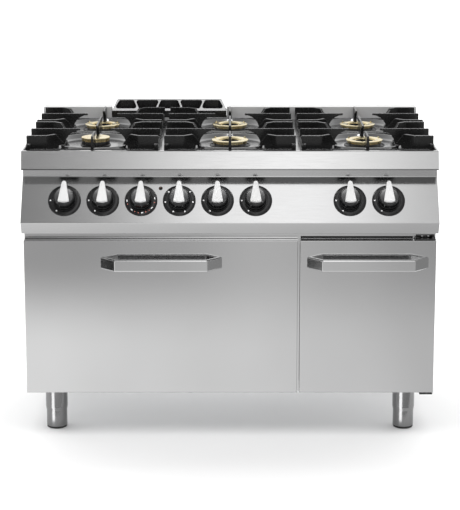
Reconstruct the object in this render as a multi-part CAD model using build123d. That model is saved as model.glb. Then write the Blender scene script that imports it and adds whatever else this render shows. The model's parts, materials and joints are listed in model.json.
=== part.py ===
from build123d import *
import os
from math import atan2, cos, pi, radians, sin, sqrt

# Six-burner gas range on an oven and a neutral cupboard. Millimetres, +Z up, front towards -Y.
# Origin: middle of the range's outline, on the floor.

# Main sizes
HALF_WIDTH = 600.0
BODY_BEHIND_DOORS = 667.0
DOOR_BOTTOM = 144.0
DOOR_TOP = 605.0
STRIP_TOP = 635.0
PANEL_TOP = 789.0
SKIRT_BOTTOM = 817.0
RIM_TOP = 870.0
DECK = 862.0
WELL_FLOOR = 854.0
GRID_TOP = 904.0
UPSTAND_TOP = 902.0
FLUE_TOP = 923.0
SHEET = 2.0

# Sloped control panel, measured from the door plane
PANEL_TOP_BACK = 22.0
LIP_FRONT = 63.0
LIP_HEIGHT = 671.0
LIP_UNDER = 41.0
PANEL_RUN = PANEL_TOP_BACK + LIP_FRONT
PANEL_RISE = PANEL_TOP - LIP_HEIGHT
PANEL_TILT = atan2(PANEL_RUN, PANEL_RISE)
PANEL_UP = (0.0, sin(PANEL_TILT), cos(PANEL_TILT))
PANEL_OUT = (0.0, -cos(PANEL_TILT), sin(PANEL_TILT))

# Knobs
KNOB_HEIGHT = 728.0
KNOB_X = (-476.0, -366.0, -256.0, -146.0, -36.0, 74.0, 345.0, 456.0)
KNOB_RADIUS = 31.0
KNOB_FACE = 32.0
BEZEL_RADIUS = 47.5
BEZEL_THICK = 6.0
POINTER_TOP = 40.4
POINTER_FOOT = 16.5
POINTER_BULGE = 4.0
POINTER_TIP = 46.0
POINTER_HALF_FOOT = 16.0
POINTER_HALF_TIP = 7.0
SPINDLE_RADIUS = 4.0
SPINDLE_HOLE = 7.0
BUTTON_X = -200.0
BUTTON_UP = 39.0
BUTTON_RADIUS = 5.2
BUTTON_HOLE = 5.8

# The knob line's distance in front of the doors, and the reach of the pointers
KNOB_LINE = LIP_FRONT - (KNOB_HEIGHT - LIP_HEIGHT) * PANEL_RUN / PANEL_RISE
KNOB_REACH = KNOB_LINE + (POINTER_FOOT + POINTER_BULGE) * PANEL_UP[1] - POINTER_TOP * PANEL_OUT[1]
DOOR_Y = (KNOB_REACH - BODY_BEHIND_DOORS) / 2
REAR_Y = DOOR_Y + BODY_BEHIND_DOORS

# Doors and front frame
DOOR_THICK = 24.0
FRAME_Y = DOOR_Y + 28.0
FRAME_BACK = FRAME_Y + SHEET
OVEN_DOOR_X = (-HALF_WIDTH, 197.5)
CUPBOARD_DOOR_X = (204.5, HALF_WIDTH)
HINGE_BACK = 8.0
HINGE_UP = 9.0
HINGE_SIDE = 8.0
HINGE_PIN = 3.0
HINGE_PIN_HOLE = 3.4
OVEN_LUGS_X = (-556.0, 153.0)
LUG_THICK = 6.0

# Handles
HANDLE_HALF = 177.5
HANDLE_REACH = 44.0
HANDLE_BAR = 12.0
HANDLE_BOTTOM = 521.0
HANDLE_TALL = 36.0
HANDLE_ROUND = 4.5
OVEN_HANDLE_X = -200.0
CUPBOARD_HANDLE_X = 401.0

# Oven
CAVITY_X = (-541.0, 139.0)
CAVITY_Z = (186.0, 546.0)
CAVITY_DEPTH = 545.0
INSULATION = 26.0
RACK_LEVELS = (260.0, 330.0, 400.0, 470.0)
FLOOR_PLATE_Z = (228.0, 232.0)
FEED_X = -201.0
FEED_BACK = 150.0

# Cupboard, with the open slot above its door
CUPBOARD_X = (204.0, 562.0)
SLOT_X = (206.0, 534.0)
SLOT_Z = (606.5, 613.0)
SEAM_X = (-590.0, 196.0)
SEAM_Z = (611.4, 613.0)
STRIP_RAIL_FRONT = 25.0
STRIP_SCREW_Z = 617.0
STRIP_SCREW_HEAD = 2.4
SCREW_HOLE = 1.6
PARTITION_X = 200.0

# Feet
FEET_X = (-525.0, 525.0)
FEET_BACK = (122.0, 575.0)
SLEEVE_RADIUS = 33.0
SLEEVE_BOTTOM = 56.0
FRAME_BOTTOM = 142.0
FOOT_RADIUS = 30.0
FOOT_GAP = 0.5
FOOT_TOP = 90.0

# Burners: centre, outer cap radius, crown and cap heights above the well floor
BURNER_X = (-400.0, 0.0, 400.0)
BURNER_BACK = (190.0, 480.0)
WELL_RADIUS = 134.0
BEAD_RADIUS = 127.0
CUP_RADIUS = 25.0
CUP_BOTTOM = 800.0
CROWN_SLOTS = 12
DECK_HOLE = 34.0
DECK_EDGE = 6.0
RIM_ROUND = 4.0
HEM_BACK = 24.0
PILOT_REACH = 70.0
PILOT_REACH_SMALL = 54.0
PILOT_ANGLE = radians(118)

# Pan supports
GRID_HALF_X = 191.5
GRID_HALF_Y = 143.0
FINGER_TIP = 46.0
FINGER_THICK = 9.0
FINGER_ARC = 45.0
FINGER_SHOULDER = 898.0
FINGER_FOOT = WELL_FLOOR + 2
CORNER_BEND_X = 133.5
CORNER_Y = 126.0
GRID_FOOT = DECK + 0.4
GRID_BRIDGE = 869.5
END_RAIL = 12.0
END_RAIL_TOP = 880.0
SIDE_RAIL = 8.0
SIDE_RAIL_TOP = GRID_FOOT + 4.0

# Flue grate
FLUE_X = (-380.5, -11.5)
FLUE_FRONT = 625.0
FLUE_FRONT_TOP = 890.0
FLUE_BOTTOM = 868.0
FLUE_WALL = 7.0
FLUE_CELLS = 5
FLUE_RIB = 5.0
FLUE_RIB_LEAN = 6.0
FLUE_LEAN = 16.0
FLUE_CORNER = 9.0
FLUE_CELL_ROUND = 7.0

# Gas pipes
MANIFOLD_RADIUS = 11.0
INLET_RADIUS = 10.5
PIPE_RADIUS = 4.0
PIPE_RUN_Z = 785.0
INLET_X = 575.0
INLET_LENGTH = 24.0
ELBOW_BEFORE_REAR = 60.0
INLET_Z = 190.0


def back(distance):
    """Y of a plane a distance behind the doors' front plane."""
    return DOOR_Y + distance


def box(x0, x1, y0, y1, z0, z1):
    """Block between two corners."""
    middle = Pos((x0 + x1) / 2, (y0 + y1) / 2, (z0 + z1) / 2)
    return middle * Box(x1 - x0, y1 - y0, z1 - z0)


def rod(start, end, radius):
    """Round bar between two points."""
    start, end = Vector(*start), Vector(*end)
    plane = Plane(origin=start, z_dir=end - start)
    return extrude(plane * Circle(radius), (end - start).length)


def along_x(outline, x0, x1):
    """Extrude a (y, z) outline from x0 to x1."""
    plane = Plane(origin=(x0, 0, 0), x_dir=(0, 1, 0), z_dir=(1, 0, 0))
    return extrude(plane * outline, x1 - x0)


def along_y(outline, y0, y1):
    """Extrude an (x, z) outline from y0 to y1."""
    plane = Plane(origin=(0, y1, 0), x_dir=(1, 0, 0), z_dir=(0, -1, 0))
    return extrude(plane * outline, y1 - y0)


def polygon(*points):
    """Face bounded by straight lines."""
    return make_face(Polyline(*points, close=True))


def turned(profile, x, y):
    """Revolve an (r, z) profile about the vertical line at x, y."""
    plane = Plane(origin=(x, y, 0), x_dir=(1, 0, 0), z_dir=(0, -1, 0))
    return revolve(plane * profile, Axis((x, y, 0), (0, 0, 1)))


def joined(solids):
    """Fuse a list of overlapping solids."""
    result = solids[0]
    for solid in solids[1:]:
        result = result + solid
    return result


def mirrored(solid):
    """A solid and its images across the X and Y axes, as four solids."""
    pair = [solid, solid.mirror(Plane.YZ)]
    return pair + [each.mirror(Plane.XZ) for each in pair]


def save(name, solids):
    """Write one node, made of one solid or several separate ones."""
    group = solids if isinstance(solids, list) else [solids]
    parts = [solid for item in group for solid in item.solids()]
    export_step(Compound(children=parts) if len(parts) > 1 else parts[0], f"parts/{name}.step")


def panel_plane(x, up=0.0, out=0.0):
    """Plane on the control panel: local Y runs up the slope and local Z points out."""
    y = back(-KNOB_LINE) + up * PANEL_UP[1] + out * PANEL_OUT[1]
    z = KNOB_HEIGHT + up * PANEL_UP[2] + out * PANEL_OUT[2]
    return Plane(origin=(x, y, z), x_dir=(1, 0, 0), z_dir=PANEL_OUT)


def disc(plane, radius, height):
    """Cylinder standing on a plane."""
    return extrude(plane * Circle(radius), height)


def base_frame():
    """Shallow tray that carries the body, with a cross member under the partition."""
    front, rear = FRAME_BACK, REAR_Y - 6
    side = HALF_WIDTH - SHEET
    tray = box(-side, side, front, rear, FRAME_BOTTOM, FRAME_BOTTOM + 30)
    inside = side - SHEET
    tray -= box(-inside, inside, front + SHEET, rear - SHEET, FRAME_BOTTOM + SHEET, FRAME_BOTTOM + 31)
    rib = box(PARTITION_X - 15, PARTITION_X + 15, front + 1, rear - 1, FRAME_BOTTOM, FRAME_BOTTOM + 30)
    rib_inside = (PARTITION_X - 13, PARTITION_X + 13)
    hollow = box(*rib_inside, front + 3, rear - 3, FRAME_BOTTOM - 1, FRAME_BOTTOM + 28)
    return tray + rib - hollow


def side_panel(sign):
    outer, inner = sign * HALF_WIDTH, sign * (HALF_WIDTH - SHEET)
    return box(min(outer, inner), max(outer, inner), FRAME_Y, REAR_Y - 5, FRAME_BOTTOM, SKIRT_BOTTOM - 1)


def back_screw_places():
    return [(x, z) for x in (-570, 0, 540) for z in (210, 760)]


def back_panel():
    """Rear sheet with screw holes and a hole for the gas inlet."""
    y0, y1 = REAR_Y - 5, REAR_Y - 3
    panel = box(-HALF_WIDTH + SHEET, HALF_WIDTH - SHEET, y0, y1, FRAME_BOTTOM, SKIRT_BOTTOM - 1)
    panel -= rod((INLET_X, y0 - 1, INLET_Z), (INLET_X, y1 + 1, INLET_Z), 16)
    for x, z in back_screw_places():
        panel -= rod((x, y0 - 1, z), (x, y1 + 1, z), 2.3)
    return panel


def partition():
    return box(PARTITION_X, PARTITION_X + SHEET, FRAME_BACK, REAR_Y - 6, FRAME_BOTTOM + 30, STRIP_TOP)


def strip_screw_places():
    return [(x, STRIP_SCREW_Z) for x in (-500, -200, 100)]


def front_frame():
    """Face frame behind the doors, with the grooved rail under the worktop."""
    side = HALF_WIDTH - SHEET
    frame = box(-side, side, FRAME_Y, FRAME_BACK, FRAME_BOTTOM, SKIRT_BOTTOM)
    frame += box(-side, side, back(PANEL_TOP_BACK + 4), FRAME_BACK, PANEL_TOP + 4, SKIRT_BOTTOM - 8)
    frame += box(-side, side, back(STRIP_RAIL_FRONT), FRAME_BACK, SEAM_Z[1], STRIP_TOP - 12)
    frame -= box(*CAVITY_X, FRAME_Y - 5, FRAME_BACK + 1, *CAVITY_Z)
    frame -= box(*CUPBOARD_X, FRAME_Y - 5, FRAME_BACK + 1, FRAME_BOTTOM + 33, 590)
    frame -= box(*SLOT_X, back(24), FRAME_BACK + 1, *SLOT_Z)
    frame -= box(*SEAM_X, back(24), FRAME_BACK + 1, *SEAM_Z)
    frame -= box(-590, 590, FRAME_Y - 5, FRAME_BACK + 1, STRIP_TOP + 6, PANEL_TOP - 6)
    for x, z in strip_screw_places():
        frame -= rod((x, back(24), z), (x, FRAME_BACK + 1, z), SCREW_HOLE)
    return frame


def screws():
    """Pan-head screws of the front strip and the back panel."""
    group = []
    for x, z in strip_screw_places():
        face = back(STRIP_RAIL_FRONT)
        head = rod((x, face - 1, z), (x, face, z), STRIP_SCREW_HEAD)
        group.append(head + rod((x, face, z), (x, face + 10, z), SCREW_HOLE - 0.3))
    for x, z in back_screw_places():
        face = REAR_Y - 3
        head = rod((x, face + 2, z), (x, face, z), 4.5)
        group.append(head + rod((x, face, z), (x, face - 8, z), 2))
    return group


def well_sheet(x, y):
    """Round pressed well with a raised bead and a hole for the burner."""
    rim, bead = WELL_RADIUS, BEAD_RADIUS
    top = [(rim, DECK), (bead + 4, 866.5)]
    upper = Polyline(*top) + ThreePointArc(top[1], (bead, 868), (bead - 4, 866.5))
    upper += Polyline((bead - 4, 866.5), (bead - 12, 857.5), (bead - 22, WELL_FLOOR),
                      (DECK_HOLE, WELL_FLOOR))
    under = WELL_FLOOR - SHEET
    lower = Polyline((DECK_HOLE, WELL_FLOOR), (DECK_HOLE, under), (bead - 21, under), (bead - 10.5, 856),
                     (bead - 2.5, 865), (bead + 2.5, 865), (rim - 2, DECK - SHEET),
                     (rim, DECK - SHEET), (rim, DECK))
    return turned(make_face(upper + lower), x, y)


def worktop():
    """Pressed top: slanted front skirt with a hem, narrow rim, six wells and a rear upstand."""
    front_low, front_top, inner_front, rear = back(-18), back(-5), back(8), back(FLUE_FRONT)
    side_view = polygon((front_low, SKIRT_BOTTOM), (front_top, RIM_TOP), (rear, RIM_TOP),
                        (rear, UPSTAND_TOP), (REAR_Y, UPSTAND_TOP), (REAR_Y, SKIRT_BOTTOM))
    shell = along_x(side_view, -HALF_WIDTH, HALF_WIDTH)
    edges = shell.edges().filter_by(Axis.X)
    front_rim = [edge for edge in edges if edge.center().Z > RIM_TOP - 1 and edge.center().Y < 0]
    shell = fillet(front_rim, RIM_ROUND)
    hem, rim_under, deck_under = SKIRT_BOTTOM + SHEET, RIM_TOP - 3.5, DECK - SHEET
    under = polygon((front_low + 2.5, hem), (front_top + 2.5, rim_under), (inner_front - 2, rim_under),
                    (inner_front - 2, deck_under), (rear + SHEET, deck_under),
                    (rear + SHEET, UPSTAND_TOP - SHEET), (REAR_Y - SHEET, UPSTAND_TOP - SHEET),
                    (REAR_Y - SHEET, SKIRT_BOTTOM - 1), (back(HEM_BACK), SKIRT_BOTTOM - 1),
                    (back(HEM_BACK), hem))
    shell -= along_x(under, -HALF_WIDTH + SHEET, HALF_WIDTH - SHEET)
    shell -= box(-HALF_WIDTH + DECK_EDGE, HALF_WIDTH - DECK_EDGE, inner_front, rear, DECK, RIM_TOP + 1)
    shell -= box(FLUE_X[0] - 0.5, FLUE_X[1] + 0.5, rear - 1, REAR_Y + 1, FLUE_BOTTOM - 0.5, UPSTAND_TOP + 1)
    for x, y in burner_places():
        shell -= rod((x, y, WELL_FLOOR - 5), (x, y, RIM_TOP), WELL_RADIUS - 0.5)
        shell += well_sheet(x, y)
    return shell


def burner_places():
    """Centres, front row first: left, middle, right, then the rear row."""
    return [(x, back(y)) for y in BURNER_BACK for x in BURNER_X]


def control_panel():
    """Sloped panel with closed ends, drilled for the spindles and the igniter."""
    outer = polygon((back(PANEL_TOP_BACK), PANEL_TOP), (back(-LIP_FRONT), LIP_HEIGHT),
                    (back(-LIP_UNDER), STRIP_TOP), (FRAME_Y, STRIP_TOP), (FRAME_Y, PANEL_TOP))
    roof, ground = PANEL_TOP - SHEET, STRIP_TOP + SHEET
    inner = polygon((back(PANEL_TOP_BACK) + 0.6, roof), (back(-LIP_FRONT) + 2.4, LIP_HEIGHT + 0.2),
                    (back(-LIP_UNDER) + 1.6, ground), (FRAME_Y + 1, ground), (FRAME_Y + 1, roof))
    panel = along_x(outer, -HALF_WIDTH, HALF_WIDTH)
    edges = panel.edges().filter_by(Axis.X)
    panel = fillet([edge for edge in edges if edge.center().Y < back(-LIP_UNDER) + 1], 3)
    panel -= along_x(inner, -HALF_WIDTH + SHEET, HALF_WIDTH - SHEET)
    for x in KNOB_X:
        panel -= disc(panel_plane(x, out=-6), SPINDLE_HOLE, 12)
    return panel - disc(panel_plane(BUTTON_X, BUTTON_UP, -6), BUTTON_HOLE, 12)


def knob_bezels():
    """Fixed rings behind the knobs, and the collar of the igniter button."""
    group = []
    for x in KNOB_X:
        ring = disc(panel_plane(x), BEZEL_RADIUS, BEZEL_THICK)
        ring = fillet(ring.edges().sort_by(Axis(origin=(x, 0, 0), direction=PANEL_OUT))[-1], 3)
        group.append(ring - disc(panel_plane(x, out=-1), SPINDLE_HOLE, BEZEL_THICK + 2))
    collar = disc(panel_plane(BUTTON_X, BUTTON_UP), 7.5, 1.5)
    group.append(collar - disc(panel_plane(BUTTON_X, BUTTON_UP, -1), BUTTON_HOLE, 4))
    return group


def pointer_outline():
    """Wedge outline: round narrow tip above, wide bulging foot below."""
    foot, tip, half_foot, half_tip = POINTER_FOOT, POINTER_TIP, POINTER_HALF_FOOT, POINTER_HALF_TIP
    left = Line((-half_foot, -foot), (-half_tip, tip - half_tip))
    top = ThreePointArc((-half_tip, tip - half_tip), (0, tip), (half_tip, tip - half_tip))
    right = Line((half_tip, tip - half_tip), (half_foot, -foot))
    bottom = ThreePointArc((half_foot, -foot), (0, -foot - POINTER_BULGE), (-half_foot, -foot))
    return make_face(left + top + right + bottom)


def knob(x):
    """Knob with its spindle, and the pointer wedge on its face."""
    body = disc(panel_plane(x, out=BEZEL_THICK + 0.8), KNOB_RADIUS, KNOB_FACE - BEZEL_THICK - 0.8)
    body = fillet(body.edges().sort_by(Axis(origin=(x, 0, 0), direction=PANEL_OUT))[-1], 2)
    body += disc(panel_plane(x, out=-30), SPINDLE_RADIUS, 50)
    wedge = extrude(panel_plane(x, out=KNOB_FACE) * pointer_outline(), POINTER_TOP - KNOB_FACE)
    return [body, wedge]


def igniter_button():
    plane = panel_plane(BUTTON_X, BUTTON_UP, -14)
    return disc(plane, BUTTON_RADIUS, 18.5)


def gas_taps():
    """Tap bodies under the panel, bored for the spindles."""
    group = []
    for x in KNOB_X:
        body = disc(panel_plane(x, out=-46), 15, 36)
        body -= disc(panel_plane(x, out=-31), SPINDLE_RADIUS + 0.4, 30)
        group.append(body)
    return group


def pipe(points, radius, bend):
    """Round tube body along straight runs with round bends."""
    path = FilletPolyline(*points, radius=bend)
    start = Vector(*points[0])
    plane = Plane(origin=start, z_dir=Vector(*points[1]) - start)
    return sweep(plane * Circle(radius), path)


def manifold_line():
    """Y and Z of the manifold: just behind the taps."""
    plane = panel_plane(0, out=-46 - MANIFOLD_RADIUS)
    return plane.origin.Y, plane.origin.Z


def gas_manifold():
    """Supply ramp behind the taps, then down the right side to the rear inlet."""
    y, z = manifold_line()
    elbow_y = REAR_Y - ELBOW_BEFORE_REAR
    route = [(-520, y, z), (INLET_X, y, z), (INLET_X, elbow_y, z), (INLET_X, elbow_y, INLET_Z),
             (INLET_X, REAR_Y - INLET_LENGTH / 2, INLET_Z)]
    ramp = pipe(route, MANIFOLD_RADIUS - 2, 24)
    return ramp + rod((INLET_X, REAR_Y - INLET_LENGTH, INLET_Z), (INLET_X, REAR_Y, INLET_Z), INLET_RADIUS)


def gas_pipes():
    """One pipe from each burner tap to its burner, and one to the oven burner."""
    start_y, drop = back(38), PIPE_RUN_Z
    taps = (0, 4, 6, 1, 5, 7)
    group = []
    for tap, (x, y) in zip(taps, burner_places()):
        knob_x = KNOB_X[tap]
        bend_y = y - 60
        route = [(knob_x, start_y, 730), (knob_x, start_y, drop), (knob_x, bend_y, drop), (x, y, drop)]
        route.append((x, y, CUP_BOTTOM))
        group.append(pipe(route, PIPE_RADIUS, 12))
    side, low = -HALF_WIDTH + 13, FRAME_BOTTOM + 15
    feed_y = back(FEED_BACK)
    route = [(KNOB_X[2], start_y, 730), (KNOB_X[2], start_y + 40, 745), (side, start_y + 40, 745),
             (side, start_y + 40, low), (FEED_X, feed_y, low), (FEED_X, feed_y, 200)]
    group.append(pipe(route, PIPE_RADIUS, 12))
    return group


def burner_sizes(index):
    """Base radius, crown radius, cap radius, crown bottom and cap bottom of one burner."""
    if index == 0:
        return 45.0, 41.0, 42.5, 868.0, 874.5
    return 60.5, 51.0, 55.0, 862.0, 867.5


def burner_bases():
    """Cast bases on the well floors, each with a mixing cup below the deck."""
    group = []
    for index, (x, y) in enumerate(burner_places()):
        base, crown, _, top, _ = burner_sizes(index)
        floor = WELL_FLOOR
        profile = polygon((8, floor), (base, floor), (base, floor + 2), (crown + 2, top), (8, top))
        cup = polygon((0, CUP_BOTTOM), (CUP_RADIUS, CUP_BOTTOM), (CUP_RADIUS, floor + 1), (0, floor + 1))
        group.append(turned(profile, x, y) + turned(cup, x, y))
    return group


def flame_rings():
    """Slotted crowns that stand on the bases."""
    group = []
    for index, (x, y) in enumerate(burner_places()):
        _, crown, _, bottom, top = burner_sizes(index)
        ring = turned(polygon((24, bottom), (crown, bottom), (crown, top), (24, top)), x, y)
        slot = box(crown - 5, crown + 2, -1.2, 1.2, bottom + 1.5, top + 1)
        for step in range(CROWN_SLOTS):
            ring -= Pos(x, y, 0) * Rot(0, 0, (step + 0.5) * 360 / CROWN_SLOTS) * slot
        group.append(ring)
    return group


def burner_cap(index):
    """Cap on the crown: a closed disc on the small burner, a ring on the others."""
    x, y = burner_places()[index]
    _, crown, cap, _, bottom = burner_sizes(index)
    inner = 0 if index == 0 else 30
    top = bottom + 4.5
    profile = polygon((inner, bottom + 0.3), (crown, bottom + 0.3), (cap, bottom + 1.5), (cap, top - 1.5),
                      (cap - 2, top), (inner, top))
    return turned(profile, x, y)


def pilot_burners():
    """Pilot and thermocouple posts beside the burners."""
    group = []
    for index, (x, y) in enumerate(burner_places()):
        reach = PILOT_REACH_SMALL if index == 0 else PILOT_REACH
        px, py = x + reach * cos(PILOT_ANGLE), y + reach * sin(PILOT_ANGLE)
        group.append(rod((px, py, WELL_FLOOR), (px, py, 866), 4.5))
    return group


def finger_outline(end):
    """Side view of a long finger: arched over the burner, stepped over the bead."""
    tip, foot, drop = FINGER_TIP, FINGER_FOOT, FINGER_SHOULDER - FINGER_FOOT
    run = sqrt(FINGER_ARC ** 2 - (FINGER_ARC - drop) ** 2)
    middle = (tip + run * sin(pi / 4), foot + drop * sin(pi / 4))
    arch = ThreePointArc((tip, FINGER_SHOULDER), middle, (tip + run, foot))
    rest = Polyline((tip + run, foot), (tip + run + 3, foot), (BEAD_RADIUS - 11, GRID_BRIDGE),
                    (WELL_RADIUS + 2, GRID_BRIDGE), (WELL_RADIUS + 2, GRID_FOOT),
                     (end, GRID_FOOT), (end, GRID_TOP),
                    (tip, GRID_TOP), (tip, FINGER_SHOULDER))
    return make_face(arch + rest)


def corner_finger():
    """Corner finger: a run along X, then a bend of 45 degrees that slopes down to its end."""
    inner, y = CORNER_BEND_X, CORNER_Y
    half = FINGER_THICK / 2
    run = box(inner, GRID_HALF_X, y - half, y + half, GRID_FOOT, GRID_TOP)
    slope = polygon((-half, GRID_FOOT), (43, GRID_FOOT), (44, GRID_BRIDGE), (66, GRID_BRIDGE),
                    (33, GRID_TOP),
                    (-half, GRID_TOP))
    plane = Plane(origin=(inner, y, 0), x_dir=(-1, -1, 0), z_dir=(-1, 1, 0))
    return run + extrude(plane * slope, half, both=True)


def pan_support(x, y):
    """One cast grid over one burner."""
    half = FINGER_THICK / 2
    x_finger = along_y(finger_outline(GRID_HALF_X), -half, half)
    y_finger = along_x(finger_outline(GRID_HALF_Y), -half, half)
    end_rail = box(GRID_HALF_X - END_RAIL, GRID_HALF_X, -GRID_HALF_Y, GRID_HALF_Y, GRID_FOOT, END_RAIL_TOP)
    rail_y = (GRID_HALF_Y - SIDE_RAIL, GRID_HALF_Y)
    side_rail = box(-GRID_HALF_X, GRID_HALF_X, *rail_y, GRID_FOOT, SIDE_RAIL_TOP)
    pieces = [end_rail, end_rail.mirror(Plane.YZ), side_rail, side_rail.mirror(Plane.XZ)]
    pieces += [x_finger, x_finger.mirror(Plane.YZ), y_finger, y_finger.mirror(Plane.XZ)]
    pieces += mirrored(corner_finger())
    return Pos(x, y, 0) * joined(pieces)


def flue_cells():
    """Plan outlines of the grate's five openings, between alternately slanted ribs."""
    x0, x1 = FLUE_X[0] + FLUE_WALL, FLUE_X[1] - FLUE_WALL
    y0, y1 = back(FLUE_FRONT) + FLUE_WALL, REAR_Y - FLUE_WALL
    pitch, last = (x1 - x0) / FLUE_CELLS, FLUE_CELLS - 1
    cells = []
    for index in range(FLUE_CELLS):
        left, right = x0 + index * pitch, x0 + (index + 1) * pitch
        left_lean = FLUE_LEAN / 2 if index == 0 else FLUE_RIB_LEAN * (-1) ** index
        right_lean = -FLUE_LEAN / 2 if index == last else FLUE_RIB_LEAN * (-1) ** (index + 1)
        left_rib = FLUE_LEAN / 2 if index == 0 else FLUE_RIB / 2
        right_rib = FLUE_LEAN / 2 if index == last else FLUE_RIB / 2
        outline = polygon((left + left_rib - left_lean, y0), (right - right_rib - right_lean, y0),
                          (right - right_rib + right_lean, y1), (left + left_rib + left_lean, y1))
        cells.append(outline)
    return cells


def flue_grate():
    """Cast grate with an inclined top and leaning ends over the oven flue."""
    profile = polygon((back(FLUE_FRONT), FLUE_BOTTOM), (back(FLUE_FRONT), FLUE_FRONT_TOP),
                      (REAR_Y - 3, FLUE_TOP), (REAR_Y, FLUE_TOP), (REAR_Y, FLUE_BOTTOM))
    body = along_x(profile, *FLUE_X)
    (x0, x1), lean, rounding = FLUE_X, FLUE_LEAN, FLUE_CORNER
    front_view = polygon((x0, FLUE_BOTTOM), (x1, FLUE_BOTTOM), (x1, FLUE_FRONT_TOP - 1),
                         (x1 - lean, FLUE_TOP), (x0 + lean, FLUE_TOP), (x0, FLUE_FRONT_TOP - 1))
    corners = front_view.vertices().filter_by(lambda corner: corner.Y > FLUE_TOP - 1)
    front_view = fillet(corners, rounding)
    body = body & along_y(front_view, back(FLUE_FRONT) - 1, REAR_Y + 1)
    for cell in flue_cells():
        body -= extrude(Plane.XY.offset(FLUE_BOTTOM - 1) * fillet(cell.vertices(), FLUE_CELL_ROUND), 60)
    return body


def flue_duct():
    """Sheet duct from the oven up to the grate."""
    x0, x1 = FLUE_X[0] + 4, FLUE_X[1] - 4
    y0, y1 = back(FLUE_FRONT) + 3, REAR_Y - 6
    duct = box(x0, x1, y0, y1, 480, FLUE_BOTTOM - 1)
    duct -= box(x0 + 1.5, x1 - 1.5, y0 + 1.5, y1 - 1.5, 478, FLUE_BOTTOM)
    return duct


def cavity_box(grow, front=0.0):
    """Block around the oven cavity, larger by the given amount except at the front."""
    return box(CAVITY_X[0] - grow, CAVITY_X[1] + grow, FRAME_BACK + front, FRAME_BACK + CAVITY_DEPTH + grow,
               CAVITY_Z[0] - grow, CAVITY_Z[1] + grow)


def feed_hole():
    """Way for the oven burner's feed pipe through the cavity floor."""
    return rod((FEED_X, back(FEED_BACK), 140), (FEED_X, back(FEED_BACK), 195), 6)


def oven_cavity():
    return cavity_box(SHEET) - cavity_box(0, -1) - feed_hole()


def oven_insulation():
    blanket = cavity_box(INSULATION) - cavity_box(SHEET + 0.5, -1)
    low = box(-700, 700, -700, 700, 100, FRAME_BOTTOM + 31)
    return blanket - low - feed_hole()


def oven_floor_plate():
    """Loose floor plate with slots over the burner."""
    plate_y = (FRAME_BACK + 10, FRAME_BACK + CAVITY_DEPTH - 10)
    plate = box(CAVITY_X[0] + 2, CAVITY_X[1] - 2, *plate_y, *FLOOR_PLATE_Z)
    for index in range(4):
        x = CAVITY_X[0] + 100 + index * 155
        plate -= box(x, x + 14, FRAME_BACK + 90, FRAME_BACK + 450, 220, 240)
    return plate


def oven_burner():
    """Two burner tubes along the oven, joined at the feed."""
    feed_y, rear_y, z = back(FEED_BACK), FRAME_BACK + CAVITY_DEPTH - 60, 209
    tubes = [rod((FEED_X - 110, feed_y, z), (FEED_X + 110, feed_y, z), 9)]
    tubes += [rod((FEED_X + dx, feed_y, z), (FEED_X + dx, rear_y, z), 11) for dx in (-110, 110)]
    return joined(tubes)


def rack_guides():
    """Side ladders with ledges for the oven rack."""
    group = []
    for wall, sign in ((CAVITY_X[0], 1), (CAVITY_X[1], -1)):
        pieces = []
        for y in (FRAME_BACK + 90, FRAME_BACK + 460):
            pieces.append(box(*sorted((wall, wall + sign * 3)), y - 9, y + 9, FLOOR_PLATE_Z[1] + 4, 500))
        for level in RACK_LEVELS:
            pieces.append(box(*sorted((wall + sign * 2, wall + sign * 14)), FRAME_BACK + 60, FRAME_BACK + 530,
                              level, level + 2))
        group.append(joined(pieces))
    return group


def oven_rack():
    """Wire shelf on the lowest ledges."""
    x0, x1 = CAVITY_X[0] + 8, CAVITY_X[1] - 8
    y0, y1 = FRAME_BACK + 62, FRAME_BACK + 536
    z = RACK_LEVELS[0] + 2 + 0.3 + 4
    wires = [rod((x0, y0, z), (x1, y0, z), 4), rod((x0, y1, z), (x1, y1, z), 4)]
    wires += [rod((x, y0, z), (x, y1, z), 4) for x in (x0, x1)]
    wires += [rod((x0, (y0 + y1) / 2, z), (x1, (y0 + y1) / 2, z), 3)]
    count = 15
    for index in range(1, count + 1):
        x = x0 + (x1 - x0) * index / (count + 1)
        wires.append(rod((x, y0, z), (x, y1, z), 2.5))
    return joined(wires)


def oven_door_gasket():
    """Seal around the oven mouth."""
    y0, y1 = back(DOOR_THICK) + 0.6, FRAME_Y
    ring = box(CAVITY_X[0] - 16, CAVITY_X[1] + 16, y0, y1, CAVITY_Z[0] - 14, CAVITY_Z[1] + 14)
    return ring - box(CAVITY_X[0] - 6, CAVITY_X[1] + 6, y0 - 1, y1 + 1, CAVITY_Z[0] - 4, CAVITY_Z[1] + 4)


def lug_slot(x, clear=3.0):
    """Opening in the oven door around one hinge lug."""
    half = LUG_THICK / 2 + clear
    return box(x - half, x + half, back(1.5), back(40), DOOR_BOTTOM - 1, DOOR_BOTTOM + HINGE_UP + 9)


def door_skin(x0, x1):
    """Outer skin of a door: face with folded edges."""
    skin = box(x0, x1, DOOR_Y, back(DOOR_THICK), DOOR_BOTTOM, DOOR_TOP)
    corners = [edge for edge in skin.edges() if edge.center().Y < DOOR_Y + 0.1]
    skin = fillet(corners, 1.8)
    inside_z = (DOOR_BOTTOM + 1.5, DOOR_TOP - 1.5)
    return skin - box(x0 + 1.5, x1 - 1.5, back(1.5), back(DOOR_THICK) + 1, *inside_z)


def oven_door_skin():
    skin = door_skin(*OVEN_DOOR_X)
    for x in OVEN_LUGS_X:
        skin -= lug_slot(x)
    return skin


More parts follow.
